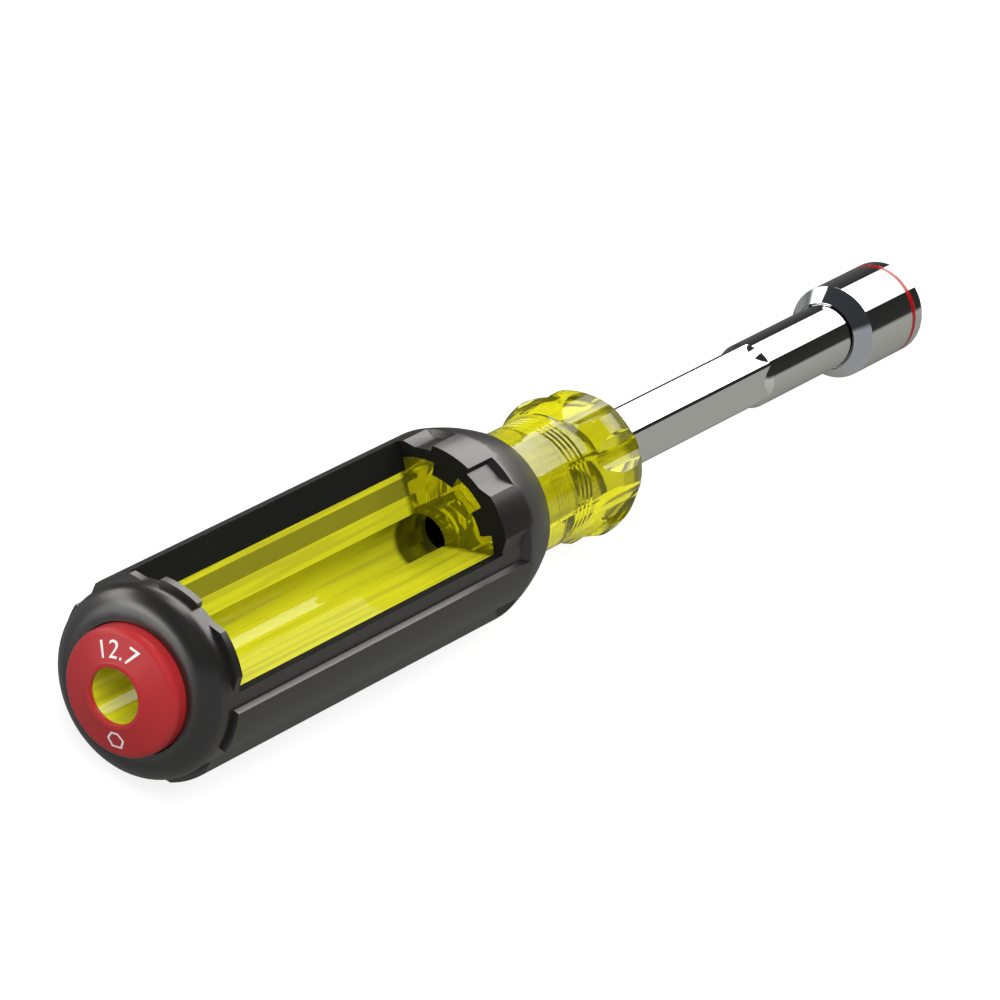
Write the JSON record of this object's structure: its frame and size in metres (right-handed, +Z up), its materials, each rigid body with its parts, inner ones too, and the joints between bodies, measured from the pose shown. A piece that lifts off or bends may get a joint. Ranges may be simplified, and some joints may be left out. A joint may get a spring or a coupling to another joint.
{
  "type": "nut driver",
  "caption": "Hollow-shaft nut driver: hexagonal socket on a hexagonal chromed shank, in a see-through handle core with a fluted rubber grip and a window cut through its side.",
  "frame": {"origin": "on the tool's axis, at the middle of its overall length, which is also the middle of its bounding box", "axes": "+X along the tool's axis from the end cap towards the socket's mouth; +Z up, through the middle of the window, with the tool lying on its grip"},
  "size_m": [0.2516, 0.037, 0.037],
  "materials": {
    "core_plastic": "see-through yellow moulded plastic, glossy",
    "grip_rubber": "soft black moulded rubber, satin",
    "cap_plastic": "red moulded plastic, satin gloss",
    "shaft_chrome": "polished chrome plate",
    "socket_chrome": "polished chrome plate",
    "band_enamel": "red enamel, glossy"
  },
  "bodies": {
    "root": {"handle_core": "core_plastic", "cushion_grip": "grip_rubber", "end_cap": "cap_plastic", "hollow_shaft": "shaft_chrome", "drive_socket": "socket_chrome", "color_band": "band_enamel"}
  },
  "joints": []
}
